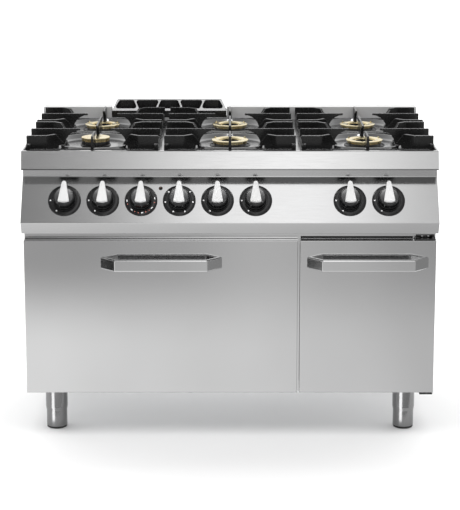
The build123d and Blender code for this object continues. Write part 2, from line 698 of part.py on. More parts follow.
def oven_door_liner():
    """Inner pan with a raised panel that enters the oven mouth."""
    x0, x1 = OVEN_DOOR_X[0] + 1.5, OVEN_DOOR_X[1] - 1.5
    z0, z1 = DOOR_BOTTOM + 1.5, DOOR_TOP - 1.5
    pan = box(x0, x1, back(8), back(DOOR_THICK), z0, z1)
    plug_z = (CAVITY_Z[0] + 14, CAVITY_Z[1] - 14)
    pan += box(CAVITY_X[0] + 12, CAVITY_X[1] - 12, back(DOOR_THICK), back(40), *plug_z)
    pan -= box(x0 + 1.5, x1 - 1.5, back(7), back(DOOR_THICK) - 1.5, z0 + 1.5, z1 - 1.5)
    hollow_z = (CAVITY_Z[0] + 15.5, CAVITY_Z[1] - 15.5)
    pan -= box(CAVITY_X[0] + 13.5, CAVITY_X[1] - 13.5, back(7), back(38.5), *hollow_z)
    for x in OVEN_LUGS_X:
        pan -= lug_slot(x)
    return pan


def oven_door_hinges():
    """Clevis blocks inside the oven door, each with its pin across the lug slot."""
    group = []
    y, z = back(HINGE_BACK), DOOR_BOTTOM + HINGE_UP
    for x in OVEN_LUGS_X:
        block = box(x - 16, x + 16, back(1.6), back(DOOR_THICK) - 1.6, DOOR_BOTTOM + 3.2, DOOR_BOTTOM + 34)
        block -= lug_slot(x, 2.0)
        group.append(block + rod((x - 12, y, z), (x + 12, y, z), HINGE_PIN))
    return group


def hinge_brackets():
    """Fixed lugs of the oven door, and the cupboard door's top and bottom brackets with pins."""
    group = []
    y, z = back(HINGE_BACK), DOOR_BOTTOM + HINGE_UP
    for x in OVEN_LUGS_X:
        half = LUG_THICK / 2
        lug = rod((x - half, y, z), (x + half, y, z), 6) + box(x - half, x + half, y, FRAME_Y, z - 6, z + 6)
        group.append(lug - rod((x - half - 1, y, z), (x + half + 1, y, z), HINGE_PIN_HOLE))
    pin_x = HALF_WIDTH - HINGE_SIDE
    top = box(538, HALF_WIDTH - 2, back(3), back(25), DOOR_TOP + 1.5, DOOR_TOP + 4.5)
    group.append(top + rod((pin_x, y, DOOR_TOP + 2), (pin_x, y, DOOR_TOP - 14), HINGE_PIN))
    low = box(560, HALF_WIDTH - 2, back(2), back(60), FRAME_BOTTOM - 4, FRAME_BOTTOM)
    group.append(low + rod((pin_x, y, FRAME_BOTTOM - 1), (pin_x, y, DOOR_BOTTOM + 14), HINGE_PIN))
    return group


def pin_holes():
    """Holes for the cupboard door's hinge pins."""
    x, y = HALF_WIDTH - HINGE_SIDE, back(HINGE_BACK)
    top = rod((x, y, DOOR_TOP - 20), (x, y, DOOR_TOP + 1), HINGE_PIN_HOLE)
    return top + rod((x, y, DOOR_BOTTOM - 1), (x, y, DOOR_BOTTOM + 20), HINGE_PIN_HOLE)


def cupboard_door_skin():
    return door_skin(*CUPBOARD_DOOR_X) - pin_holes()


def cupboard_door_liner():
    """Inner pan of the cupboard door, with solid corner blocks for the pins."""
    x0, x1 = CUPBOARD_DOOR_X[0] + 1.5, CUPBOARD_DOOR_X[1] - 1.5
    z0, z1 = DOOR_BOTTOM + 1.5, DOOR_TOP - 1.5
    pan = box(x0, x1, back(8), back(DOOR_THICK), z0, z1)
    pan -= box(x0 + 1.5, x1 - 1.5, back(7), back(DOOR_THICK) - 1.5, z0 + 1.5, z1 - 1.5)
    for low, high in ((z0, z0 + 18), (z1 - 18, z1)):
        pan += box(x1 - 22, x1, back(1.5), back(DOOR_THICK), low, high)
    return pan - pin_holes()


def handle(x):
    """Bar handle bent from flat strip with 45-degree returns."""
    reach, bar, half = HANDLE_REACH, HANDLE_BAR, HANDLE_HALF
    outer = [(-half, 0), (-half + reach, -reach), (half - reach, -reach), (half, 0)]
    inner_half = half - bar * sqrt(2)
    inner_reach = reach - bar
    inner = [(inner_half, 0), (inner_half - inner_reach, -inner_reach),
             (-inner_half + inner_reach, -inner_reach), (-inner_half, 0)]
    plan = make_face(Polyline(*outer, *inner, close=True))
    bar_solid = extrude(Plane.XY.offset(HANDLE_BOTTOM) * plan, HANDLE_TALL)
    rounded = [edge for edge in bar_solid.edges()
               if abs(edge.center().Z - HANDLE_BOTTOM - HANDLE_TALL / 2) > 1 and edge.center().Y < -1]
    bar_solid = fillet(rounded, HANDLE_ROUND)
    return Pos(x, DOOR_Y, 0) * bar_solid


def cupboard_panels():
    """Floor and ceiling sheets of the cupboard."""
    x0, x1 = PARTITION_X + SHEET, HALF_WIDTH - SHEET
    y0, y1 = FRAME_BACK, REAR_Y - 6
    floor = box(x0, x1, y0, y1, FRAME_BOTTOM + 30, FRAME_BOTTOM + 32)
    ceiling = box(x0, x1 - 40, y0, y1, 612, 614)
    return [floor, ceiling]


def feet_places():
    return {"front_left": (FEET_X[0], back(FEET_BACK[0])), "front_right": (FEET_X[1], back(FEET_BACK[0])),
            "rear_left": (FEET_X[0], back(FEET_BACK[1])), "rear_right": (FEET_X[1], back(FEET_BACK[1]))}


def foot_sleeves():
    """Upper leg sleeves fixed under the frame."""
    group = []
    for x, y in feet_places().values():
        inner = FOOT_RADIUS + FOOT_GAP
        profile = polygon((inner, SLEEVE_BOTTOM), (inner + 1, SLEEVE_BOTTOM),
                          (SLEEVE_RADIUS, SLEEVE_BOTTOM + 10),
                          (SLEEVE_RADIUS, FRAME_BOTTOM), (0, FRAME_BOTTOM), (0, FRAME_BOTTOM - 4),
                          (inner, FRAME_BOTTOM - 4))
        group.append(turned(profile, x, y))
    return group


def foot(x, y):
    """Adjustable lower leg with a dark pad."""
    radius, pad = FOOT_RADIUS, FOOT_RADIUS + 1
    profile = polygon((0, 0), (pad, 0), (pad, 4), (radius, 5), (radius, FOOT_TOP), (0, FOOT_TOP))
    return turned(profile, x, y)


os.makedirs("parts", exist_ok=True)

save("base_frame", base_frame())
save("side_panel_left", side_panel(-1))
save("side_panel_right", side_panel(1))
save("back_panel", back_panel())
save("partition", partition())
save("front_frame", front_frame())
save("worktop", worktop())
save("control_panel", control_panel())
save("oven_cavity", oven_cavity())
save("oven_insulation", oven_insulation())
save("oven_floor_plate", oven_floor_plate())
save("oven_burner", oven_burner())
save("oven_rack_guides", rack_guides())
save("oven_rack", oven_rack())
save("oven_door_gasket", oven_door_gasket())
save("oven_door_skin", oven_door_skin())
save("oven_door_liner", oven_door_liner())
save("oven_door_hinges", oven_door_hinges())
save("oven_door_handle", handle(OVEN_HANDLE_X))
save("cupboard_door_skin", cupboard_door_skin())
save("cupboard_door_liner", cupboard_door_liner())
save("cupboard_door_handle", handle(CUPBOARD_HANDLE_X))
save("cupboard_panels", cupboard_panels())
save("hinge_brackets", hinge_brackets())
save("gas_manifold", gas_manifold())
save("gas_taps", gas_taps())
save("gas_pipes", gas_pipes())
save("burner_bases", burner_bases())
save("flame_rings", flame_rings())
save("pilot_burners", pilot_burners())
save("knob_bezels", knob_bezels())
save("igniter_button", igniter_button())
save("flue_duct", flue_duct())
save("flue_grate", flue_grate())
save("screws", screws())
save("foot_sleeves", foot_sleeves())
for place, (foot_x, foot_y) in feet_places().items():
    save(f"foot_{place}", foot(foot_x, foot_y))
for number, (burner_x, burner_y) in enumerate(burner_places(), start=1):
    save(f"pan_support_{number}", pan_support(burner_x, burner_y))
    save(f"burner_cap_{number}", burner_cap(number - 1))
for number, knob_x in enumerate(KNOB_X, start=1):
    save(f"knob_{number}", knob(knob_x))
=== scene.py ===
"""Looks of a six-burner gas range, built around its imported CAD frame. Units are metres."""
import json
import math

import bmesh
import bpy
from mathutils import Matrix, Vector


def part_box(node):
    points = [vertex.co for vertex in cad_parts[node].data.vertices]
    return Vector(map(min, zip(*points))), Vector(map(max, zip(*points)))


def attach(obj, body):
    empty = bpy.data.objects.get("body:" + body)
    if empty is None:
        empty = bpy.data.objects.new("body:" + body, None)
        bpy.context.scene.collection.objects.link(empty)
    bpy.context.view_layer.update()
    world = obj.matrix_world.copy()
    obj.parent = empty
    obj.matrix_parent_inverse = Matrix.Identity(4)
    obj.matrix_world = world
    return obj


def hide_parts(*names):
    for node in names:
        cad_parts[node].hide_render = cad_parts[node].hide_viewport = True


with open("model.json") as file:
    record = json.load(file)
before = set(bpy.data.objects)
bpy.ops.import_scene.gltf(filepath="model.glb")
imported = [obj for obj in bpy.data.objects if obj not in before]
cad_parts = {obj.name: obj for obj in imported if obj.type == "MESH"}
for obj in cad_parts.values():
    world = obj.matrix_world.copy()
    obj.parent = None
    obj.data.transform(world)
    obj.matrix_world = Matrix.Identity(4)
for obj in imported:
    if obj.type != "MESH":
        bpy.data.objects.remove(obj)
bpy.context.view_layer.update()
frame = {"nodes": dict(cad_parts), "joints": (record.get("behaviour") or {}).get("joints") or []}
NODES = frame["nodes"]
JOINTS = {joint["name"]: joint for joint in frame["joints"]}
MM = 0.001
ROOT = "cabinet"

# ---------------------------------------------------------------- materials


class Finish:
    """A node material: one shader, with object-space noise for colour, gloss and bump."""

    def __init__(self, name, metallic=0.0, roughness=0.5, color=(0.5, 0.5, 0.5), **sockets):
        self.material = bpy.data.materials.new(name)
        self.material.use_nodes = True
        self.tree = self.material.node_tree
        self.shader = self.tree.nodes["Principled BSDF"]
        self.shader.inputs["Metallic"].default_value = metallic
        self.shader.inputs["Roughness"].default_value = roughness
        self.shader.inputs["Base Color"].default_value = (*color, 1)
        for socket, value in sockets.items():
            self.shader.inputs[socket.replace("_", " ")].default_value = value
        self.coordinates = self.tree.nodes.new("ShaderNodeTexCoord")
        self.normal = None

    def node(self, kind, **values):
        """A new node of the tree with the given settings."""
        made = self.tree.nodes.new(kind)
        for key, value in values.items():
            setattr(made, key, value)
        return made

    def noise(self, scale, stretch=(1, 1, 1), detail=4.0, roughness=0.55):
        """Noise in object space, stretched by scaling each axis."""
        mapping = self.node("ShaderNodeMapping")
        mapping.inputs["Scale"].default_value = stretch
        self.tree.links.new(self.coordinates.outputs["Object"], mapping.inputs["Vector"])
        texture = self.node("ShaderNodeTexNoise")
        texture.inputs["Scale"].default_value = scale
        texture.inputs["Detail"].default_value = detail
        texture.inputs["Roughness"].default_value = roughness
        self.tree.links.new(mapping.outputs["Vector"], texture.inputs["Vector"])
        return texture.outputs["Fac"]

    def between(self, factor, low, high, start=0.3, end=0.7):
        """A number that runs from low to high with the noise."""
        spread = self.node("ShaderNodeMapRange")
        spread.inputs["From Min"].default_value = start
        spread.inputs["From Max"].default_value = end
        spread.inputs["To Min"].default_value = low
        spread.inputs["To Max"].default_value = high
        self.tree.links.new(factor, spread.inputs["Value"])
        return spread.outputs["Result"]

    def blend(self, factor, first, second):
        """A number that goes from a varying one to a fixed one as the factor rises."""
        mix = self.node("ShaderNodeMix")
        self.tree.links.new(factor, mix.inputs["Factor"])
        self.tree.links.new(first, mix.inputs[2])
        mix.inputs[3].default_value = second
        return mix.outputs[0]

    def product(self, first, second):
        """Two numbers multiplied."""
        times = self.node("ShaderNodeMath", operation="MULTIPLY")
        self.tree.links.new(first, times.inputs[0])
        self.tree.links.new(second, times.inputs[1])
        return times.outputs[0]

    def band(self, source, start, end, width):
        """One inside a band of a coordinate that rises from start to end, nought outside it."""
        return self.product(self.between(source, 0.0, 1.0, start, end),
                            self.between(source, 1.0, 0.0, start + width, end + width))

    def vary_roughness(self, factor, low, high):
        """Lets the roughness run from low to high with the noise."""
        self.tree.links.new(self.between(factor, low, high), self.shader.inputs["Roughness"])
        return self

    def vary_color(self, factor, dark, light, start=0.3, end=0.7):
        """Lets the colour run from dark to light with the noise."""
        ramp = self.node("ShaderNodeValToRGB")
        ramp.color_ramp.elements[0].position = start
        ramp.color_ramp.elements[0].color = (*dark, 1)
        ramp.color_ramp.elements[1].position = end
        ramp.color_ramp.elements[1].color = (*light, 1)
        self.tree.links.new(factor, ramp.inputs["Fac"])
        self.tree.links.new(ramp.outputs["Color"], self.shader.inputs["Base Color"])
        return self

    def bump(self, factor, distance):
        """Adds a height in metres to the shader's normal."""
        relief = self.node("ShaderNodeBump")
        relief.inputs["Distance"].default_value = distance
        self.tree.links.new(factor, relief.inputs["Height"])
        if self.normal is not None:
            self.tree.links.new(self.normal, relief.inputs["Normal"])
        self.normal = relief.outputs["Normal"]
        self.tree.links.new(self.normal, self.shader.inputs["Normal"])
        return self


ALONG_X = (0.02, 1.0, 1.0)
ALONG_Y = (1.0, 0.02, 1.0)
ALONG_Z = (1.0, 1.0, 0.02)
# Heights of fine surface relief in metres: brushed steel, and unpolished metal.
BRUSHED_RELIEF = 2e-6
METAL_RELIEF = 0.00006
# Where the parts of the pressed worktop that differ in finish or carry painted shade begin and end, in
# metres.
UPSTAND_MARGIN = 0.001
UPSTAND_DULL = 0.036
DECK_FRONT = -0.2915
HEM_DEPTH = 0.0025
SIDE_SKIRT = 0.003
# The tones of those parts, the deck's and the underside's being painted shade, and the roughness and metallic
# share of the dull upstand.
DECK_SHADE_TONE = 0.36
UPSTAND_TONE = 0.62
UNDER_SHADE_TONE = 0.16
UPSTAND_ROUGHNESS = 0.42
UPSTAND_METALLIC = 0.25


def steel(name, grain, tone, roughness, spread=0.03):
    """Satin stainless steel with grain lines along one axis and faint cloudy patches."""
    finish = Finish(name, metallic=1.0, roughness=roughness)
    lines = finish.noise(900, grain, detail=3.0, roughness=0.6)
    clouds = finish.noise(3.0, detail=3.0)
    finish.vary_color(clouds, [tone - 0.015] * 3, [tone + 0.01, tone + 0.01, tone + 0.013])
    finish.vary_roughness(lines, roughness - spread, roughness + spread)
    return finish.bump(lines, BRUSHED_RELIEF).material


def cast_iron(name, tone):
    """Glossy enamelled casting with a fine pebbled skin."""
    finish = Finish(name, roughness=0.26, Specular_IOR_Level=0.5)
    pebble = finish.noise(420, detail=3.0)
    clouds = finish.noise(25)
    finish.vary_color(clouds, [tone * 0.7] * 3, [tone * 1.5] * 3)
    finish.vary_roughness(pebble, 0.2, 0.3)
    return finish.bump(pebble, 0.000008).bump(clouds, 0.0001).material


def brass(name):
    """Machined brass with turning marks and slight heat stain."""
    finish = Finish(name, metallic=1.0, roughness=0.24)
    stain = finish.noise(30, detail=5.0)
    grain = finish.noise(600)
    finish.vary_color(stain, (0.9, 0.72, 0.38), (1.0, 0.9, 0.6))
    finish.vary_roughness(grain, 0.14, 0.24)
    return finish.bump(grain, 0.00001).material


def worktop_steel(name):
    """Satin pressed steel, dull on the rear upstand, with painted shade darkening the deck and the skirt
    below its hem.
    """
    finish = Finish(name, metallic=1.0)
    lines = finish.noise(900, ALONG_X, detail=3.0, roughness=0.6)
    clouds = finish.noise(3.0, detail=3.0)
    place = finish.node("ShaderNodeSeparateXYZ")
    finish.tree.links.new(finish.coordinates.outputs["Object"], place.inputs[0])
    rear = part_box("flue_grate")[0].y - UPSTAND_MARGIN
    dull = finish.band(place.outputs["Y"], rear - MM, rear, UPSTAND_DULL)
    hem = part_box("worktop")[0].z + HEM_DEPTH
    # Painted shade: below the skirt's hem the steel takes a dark tone in place of the shadow under the
    # worktop's edge.
    under = finish.between(place.outputs["Z"], 1.0, 0.0, hem, hem + MM)
    polish = finish.between(lines, 0.11, 0.18)
    rough = finish.blend(dull, polish, UPSTAND_ROUGHNESS)
    finish.tree.links.new(rough, finish.shader.inputs["Roughness"])
    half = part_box("worktop")[1].x - SIDE_SKIRT
    # Painted shade: the deck behind its front edge takes a darker tone in place of the shadows and dark
    # reflections of the pan supports above it.
    deck = finish.product(finish.between(place.outputs["Y"], 0.0, 1.0, DECK_FRONT, DECK_FRONT + MM),
                          finish.band(place.outputs["X"], -half, -half + MM, 2 * half - MM))
    tone = finish.blend(deck, finish.between(clouds, 0.645, 0.675), DECK_SHADE_TONE)
    tone = finish.blend(under, finish.blend(dull, tone, UPSTAND_TONE), UNDER_SHADE_TONE)
    metal = finish.between(dull, 1.0, UPSTAND_METALLIC, 0.0, 1.0)
    finish.tree.links.new(metal, finish.shader.inputs["Metallic"])
    finish.tree.links.new(tone, finish.shader.inputs["Base Color"])
    return finish.bump(lines, BRUSHED_RELIEF).material


def plastic(name, tone, roughness, relief=0.00003):
    """Moulded plastic with a faint texture."""
    finish = Finish(name, roughness=roughness)
    grain = finish.noise(900, detail=2.0)
    clouds = finish.noise(15)
    finish.vary_color(clouds, [c * 0.88 for c in tone], tone)
    finish.vary_roughness(grain, roughness - 0.05, roughness + 0.07)
    return finish.bump(grain, relief).material


def plain_metal(name, dark, light, rough_low, rough_high, scale=14.0):
    """Unpolished metal: spangled zinc, drawn copper or bare steel."""
    finish = Finish(name, metallic=1.0, roughness=rough_high)
    patches = finish.noise(scale, detail=5.0)
    fine = finish.noise(500)
    finish.vary_color(patches, dark, light)
    finish.vary_roughness(patches, rough_low, rough_high)
    return finish.bump(fine, METAL_RELIEF).material


def enamel(name, tone):
    """Speckled vitreous enamel."""
    finish = Finish(name, roughness=0.2, Coat_Weight=0.4)
    specks = finish.noise(1200, detail=2.0)
    finish.vary_color(specks, tone, [c + 0.12 for c in tone], 0.62, 0.68)
    waves = finish.noise(18)
    return finish.bump(waves, 0.0006).material


def fibre(name, dark, light, scale):
    """Mineral wool or woven seal."""
    finish = Finish(name, roughness=0.95)
    tufts = finish.noise(scale, detail=8.0, roughness=0.7)
    finish.vary_color(tufts, dark, light)
    return finish.bump(tufts, 0.002).material


MATERIALS = {
    "steel_front": steel("steel_front", ALONG_X, 0.62, 0.13),
    "steel_door": steel("steel_door", ALONG_X, 0.6, 0.1, 0.02),
    "steel_side": steel("steel_side", ALONG_Y, 0.5, 0.26),
    "steel_top": worktop_steel("steel_top"),
    # Painted shade: the legs' steel has a much darker tone than the other steel, in place of the dark floor
    # and shade that they mirror.
    "shaded_steel_leg": steel("shaded_steel_leg", ALONG_Z, 0.24, 0.2),
    "steel_handle": steel("steel_handle", ALONG_X, 0.68, 0.1, 0.02),
    "cast": cast_iron("cast", 0.005),
    "cast_burner": cast_iron("cast_burner", 0.005),
    "brass": brass("brass"),
    "copper": plain_metal("copper", (0.7, 0.34, 0.2), (0.9, 0.5, 0.32), 0.2, 0.35),
    "zinc": plain_metal("zinc", (0.36, 0.37, 0.38), (0.56, 0.57, 0.58), 0.3, 0.5, 60.0),
    "chrome": plain_metal("chrome", (0.6, 0.6, 0.61), (0.7, 0.7, 0.71), 0.08, 0.16),
    "black": plastic("black", (0.005, 0.005, 0.0055), 0.17, 0.00001),
    "black_face": plastic("black_face", (0.022, 0.022, 0.023), 0.4, 0.00001),
    # Painted shade: near-black lining for the inside of the burners, in place of the shade in their hollows.
    "throat_shade": plastic("throat_shade", (0.003, 0.003, 0.003), 0.85),
    "black_zinc": plain_metal("black_zinc", (0.05, 0.05, 0.05), (0.12, 0.12, 0.12), 0.15, 0.3, 60.0),
    "white": plastic("white", (0.72, 0.72, 0.72), 0.32),
    "mark_white": plastic("mark_white", (0.95, 0.95, 0.95), 0.5),
    "mark_red": plastic("mark_red", (0.55, 0.16, 0.12), 0.5),
    "pad": plastic("pad", (0.03, 0.03, 0.03), 0.6),
    "enamel": enamel("enamel", (0.02, 0.02, 0.025)),
    "wool": fibre("wool", (0.5, 0.47, 0.36), (0.8, 0.77, 0.66), 90),
    "seal": fibre("seal", (0.02, 0.02, 0.02), (0.07, 0.07, 0.07), 300),
}

NODE_FINISH = {
    "steel_side": ["side_panel_left", "side_panel_right"],
    "steel_front": ["front_frame", "control_panel"],
    "steel_door": ["oven_door_skin", "cupboard_door_skin"],
    "steel_top": ["worktop"],
    "steel_handle": ["oven_door_handle", "cupboard_door_handle"],
    "shaded_steel_leg": ["foot_sleeves"],
    "zinc": ["base_frame", "back_panel", "partition", "cupboard_panels", "flue_duct", "hinge_brackets",
             "oven_door_hinges", "oven_burner"],
    "chrome": ["oven_door_liner", "cupboard_door_liner", "oven_rack", "oven_rack_guides", "screws"],
    "enamel": ["oven_cavity", "oven_floor_plate"],
    "wool": ["oven_insulation"],
    "seal": ["oven_door_gasket"],
    "cast": ["flue_grate", "burner_bases"],
    "brass": ["flame_rings", "gas_taps", "gas_manifold"],
    "copper": ["gas_pipes"],
    "cast_burner": ["pilot_burners"],
    "black": ["knob_bezels", "igniter_button"],
}
# Families of nodes, by the start of their names.
FAMILY_FINISH = {"pan_support": "cast", "burner_cap": "brass", "foot_": "shaded_steel_leg", "knob_": "black"}


def paint(node, finish):
    """Gives a CAD node one material."""
    node.data.materials.clear()
    node.data.materials.append(MATERIALS[finish])


for node_name, node in NODES.items():
    for family, finish_name in FAMILY_FINISH.items():
        if node_name.startswith(family):
            paint(node, finish_name)
for finish_name, node_names in NODE_FINISH.items():
    for node_name in node_names:
        paint(NODES[node_name], finish_name)

# ---------------------------------------------------------------- mesh helpers

# Points closer than this are joined, in metres.
WELD = 1e-6
# Folds between two faces: flatter ones are dissolved, sharper ones bevelled, or kept as sharp edges.
FLAT_FOLD = math.radians(1.0)
SHARP_FOLD = math.radians(30.0)
SMOOTH_FOLD = math.radians(35)


def add_piece(name, mesh, finish, body, replaced=()):
    """Puts a finished bmesh in the scene as a piece that rides on a body."""
    bmesh.ops.recalc_face_normals(mesh, faces=mesh.faces)
    data = bpy.data.meshes.new(name)
    mesh.to_mesh(data)
    mesh.free()
    piece = bpy.data.objects.new(name, data)
    bpy.context.scene.collection.objects.link(piece)
    data.materials.append(MATERIALS[finish])
    data.shade_smooth()
    data.set_sharp_from_angle(angle=SMOOTH_FOLD)
    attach(piece, body)
    if replaced:
        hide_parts(*replaced)
    return piece


def softened(node_name, width, finish, body, segments=3, shape=None):
    """A copy of a CAD node with its sharp edges rounded off, after a change of shape if one is given."""
    mesh = bmesh.new()
    mesh.from_mesh(NODES[node_name].data)
    bmesh.ops.remove_doubles(mesh, verts=mesh.verts, dist=WELD)
    bmesh.ops.dissolve_limit(mesh, angle_limit=FLAT_FOLD, verts=mesh.verts, edges=mesh.edges)
    if shape:
        shape(mesh)
    folds = [edge for edge in mesh.edges if len(edge.link_faces) == 2]
    sharp = [edge for edge in folds if edge.calc_face_angle(0.0) > SHARP_FOLD]
    bmesh.ops.bevel(mesh, geom=sharp, offset=width, segments=segments, profile=0.5, affect="EDGES",
                    clamp_overlap=True)
    piece = add_piece(f"{node_name}_soft", mesh, finish, body, [node_name])
    flat = piece.modifiers.new("flat_faces", "WEIGHTED_NORMAL")
    flat.keep_sharp = True
    return piece


def lathe(profile, segments, place, mesh=None):
    """Turns a closed outline of (radius, height) points in millimetres about a place's local Z."""
    mesh = mesh or bmesh.new()
    rings = []
    for radius, height in profile:
        ring = []
        for step in range(segments):
            turn = 2 * math.pi * step / segments
            local = Vector((radius * MM * math.cos(turn), radius * MM * math.sin(turn), height * MM))
            ring.append(mesh.verts.new(place @ local))
        rings.append(ring)
    pairs = list(zip(rings, rings[1:]))
    pairs.append((rings[-1], rings[0]))
    for low, high in pairs:
        for step in range(segments):
            after = (step + 1) % segments
            mesh.faces.new((low[step], low[after], high[after], high[step]))
    bmesh.ops.remove_doubles(mesh, verts=[v for ring in rings for v in ring], dist=1e-7)
    return mesh


def loft(rings, mesh=None):
    """Skins a list of equal point rings, closing both ends with flat faces."""
    mesh = mesh or bmesh.new()
    made = [[mesh.verts.new(point) for point in ring] for ring in rings]
    count = len(made[0])
    for low, high in zip(made, made[1:]):
        for step in range(count):
            after = (step + 1) % count
            mesh.faces.new((low[step], low[after], high[after], high[step]))
    mesh.faces.new(list(reversed(made[0])))
    mesh.faces.new(made[-1])
    return mesh


def block(low, high, round_off, place, mesh=None, segments=2):
    """A block between two corners in millimetres, with its edges rounded, at a place."""
    mesh = mesh or bmesh.new()
    corners = [(x, y, z) for z in (low[2], high[2]) for x, y in
               ((low[0], low[1]), (high[0], low[1]), (high[0], high[1]), (low[0], high[1]))]
    points = [mesh.verts.new(place @ (Vector(corner) * MM)) for corner in corners]
    sides = [(0, 1, 5, 4), (1, 2, 6, 5), (2, 3, 7, 6), (3, 0, 4, 7), (3, 2, 1, 0), (4, 5, 6, 7)]
    faces = [mesh.faces.new([points[index] for index in side]) for side in sides]
    edges = list({edge for face in faces for edge in face.edges})
    bmesh.ops.bevel(mesh, geom=edges, offset=round_off * MM, segments=segments, profile=0.5,
                    affect="EDGES", clamp_overlap=True)
    return mesh


def arc(radius, centre, start, end, steps):
    """Points in millimetres along an arc, in degrees."""
    turns = [math.radians(start + (end - start) * step / steps) for step in range(steps + 1)]
    return [(centre[0] + radius * math.cos(turn), centre[1] + radius * math.sin(turn)) for turn in turns]


def joint_place(joint):
    """Frame whose local Z is the joint's axis and local Y points up the control panel."""
    out = Vector(joint["axis"]).normalized()
    across = Vector((1, 0, 0))
    up = out.cross(across)
    place = Matrix((across, up, out)).transposed().to_4x4()
    place.translation = Vector(joint["pos_m"])
    return place


# ---------------------------------------------------------------- knobs

KNOB_COUNT = 8
# Profiles of (radius, height above the panel) in millimetres.
BEZEL_PROFILE = ([(8, 0), (46.2, 0), (47.3, 1.0)] + arc(2.6, (44.7, 2.6), 0, 80, 5)
                 + [(43.5, 5.6), (35.5, 5.4), (34.6, 4.6), (33.6, 4.6), (32.9, 5.2), (8, 5.2)])
KNOB_PROFILE = ([(4, 7.2), (30.2, 7.2), (31, 8.0), (31, 11.5), (30.4, 12.2), (29.6, 28.4)]
                + arc(2.4, (27.2, 29.2), 0, 90, 5)
                + [(26.0, 31.2), (24.8, 30.8), (4, 30.6), (0.01, 30.6), (0.01, 7.2)])
FACE_PROFILE = [(0.01, 30.3), (26.0, 30.3), (26.0, 31.3), (25.4, 31.6), (0.01, 31.6)]
SPINDLE_PROFILE = [(0.01, -30), (3.6, -30), (4, -29.4), (4, 7.4), (0.01, 7.4)]
# How far each ring of the pointer is drawn in, and its height above the panel.
POINTER_STEPS = [(0.8, 29.5), (0, 30.4), (0, 37.4), (0.35, 38.9), (1.2, 39.9), (2.4, 40.3)]
# Printed marks: size outwards and round the dial in millimetres, and places in degrees from the top.
BAR, RED_SQUARE, STEP_DOT, TAP_DOT = (3.2, 6.4), (3.0, 3.0), (4.4, 4.4), (4.0, 4.0)
THERMOSTAT, SELECTOR = 3, 4
THERMOSTAT_BARS = (93, 139, 186, 232, 278)
THERMOSTAT_SQUARES = (109, 155, 170, 202, 217, 258)
SELECTOR_DOTS = (50, 99, 155, 205, 261, 310)
TAP_DOTS = (92, 148)
MARK_RADIUS = 40.0
MARK_TOP = 5.75
MARK_DEPTH = 0.45
MARK_ROUND = 0.12


def pointer_ring(shrink, height):
    """Wedge outline in millimetres, drawn in by shrink, at a height above the panel."""
    half_foot, half_tip, foot, tip = 16 - shrink, 6.8 - shrink, 16.5 - shrink, 46 - shrink
    left_corner = [(-half_foot + 1.0, -foot - 0.8), (-half_foot + 0.2, -foot + 0.2),
                   (-half_foot, -foot + 1.4)]
    head = arc(half_tip, (0, tip - half_tip), 170, 10, 12)
    right_corner = [(-x, y) for x, y in reversed(left_corner)]
    foot_arc = [(x, -foot - 3.8 * (1 - (x / half_foot) ** 2)) for x in (12, 8, 4, 0, -4, -8, -12)]
    return [(x, y, height) for x, y in left_corner + head + right_corner + foot_arc]


def make_knob(number):
    """Knob body with its spindle, the flat face and the pointer wedge of one tap."""
    joint = JOINTS[f"knob_{number}_turn"]
    place = joint_place(joint)
    body = lathe(KNOB_PROFILE, 96, place)
    lathe(SPINDLE_PROFILE, 24, place, body)
    knob = f"knob_{number}"
    add_piece(f"{knob}_face", lathe(FACE_PROFILE, 96, place), "black_face", knob)
    add_piece(f"{knob}_body", body, "black", knob, [knob])
    rings = [[place @ (Vector(point) * MM) for point in pointer_ring(*step)] for step in POINTER_STEPS]
    add_piece(f"{knob}_pointer", loft(rings), "white", knob)


def mark(mesh, place, turn, size):
    """One flat printed mark on a bezel, at degrees counter-clockwise from the top."""
    depth, width = size
    spin = place @ Matrix.Rotation(math.radians(turn), 4, "Z")
    low = (-width / 2, MARK_RADIUS - depth / 2, MARK_TOP - MARK_DEPTH)
    high = (width / 2, MARK_RADIUS + depth / 2, MARK_TOP)
    block(low, high, MARK_ROUND, spin, mesh, 1)


def make_bezels():
    """Fixed rings with their marks: dots on burner taps, a dial on the thermostat, steps on the selector."""
    rings, white, red = bmesh.new(), bmesh.new(), bmesh.new()
    for number in range(1, KNOB_COUNT + 1):
        place = joint_place(JOINTS[f"knob_{number}_turn"])
        lathe(BEZEL_PROFILE, 96, place, rings)
        if number == THERMOSTAT:
            for turn in THERMOSTAT_BARS:
                mark(white, place, turn, BAR)
            for turn in THERMOSTAT_SQUARES:
                mark(red, place, turn, RED_SQUARE)
        elif number == SELECTOR:
            for turn in SELECTOR_DOTS:
                mark(white, place, turn, STEP_DOT)
        else:
            for turn in TAP_DOTS:
                mark(white, place, turn, TAP_DOT)
    add_piece("bezel_rings", rings, "black", ROOT, ["knob_bezels"])
    add_piece("bezel_marks_white", white, "mark_white", ROOT)
    add_piece("bezel_marks_red", red, "mark_red", ROOT)


# The panel's face lies this far below the middle of the igniter's CAD button, in millimetres.
IGNITER_SUNK = 4.75
COLLAR_PROFILE = [(5.7, 0), (7.2, 0), (7.5, 0.4), (7.3, 1.1), (6.6, 1.5), (5.9, 1.3), (5.7, 0.8)]
BUTTON_PROFILE = ([(0.01, -13), (5.1, -13), (5.1, 3.4)] + arc(0.9, (4.2, 3.4), 0, 90, 4)
                  + [(3.0, 4.0), (0.01, 3.7)])


def make_igniter():
    """Copper collar and domed black push button of the igniter."""
    press = JOINTS["igniter_press"]
    low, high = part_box("igniter_button")
    out = -Vector(press["axis"])
    place = joint_place({"axis": out, "pos_m": Vector((0, 0, 0))})
    middle = (low + high) / 2
    place.translation = middle - out * IGNITER_SUNK * MM
    add_piece("igniter_collar", lathe(COLLAR_PROFILE, 48, place), "copper", ROOT)
    button = "igniter_button"
    add_piece("igniter_cap", lathe(BUTTON_PROFILE, 48, place), "black", button, [button])


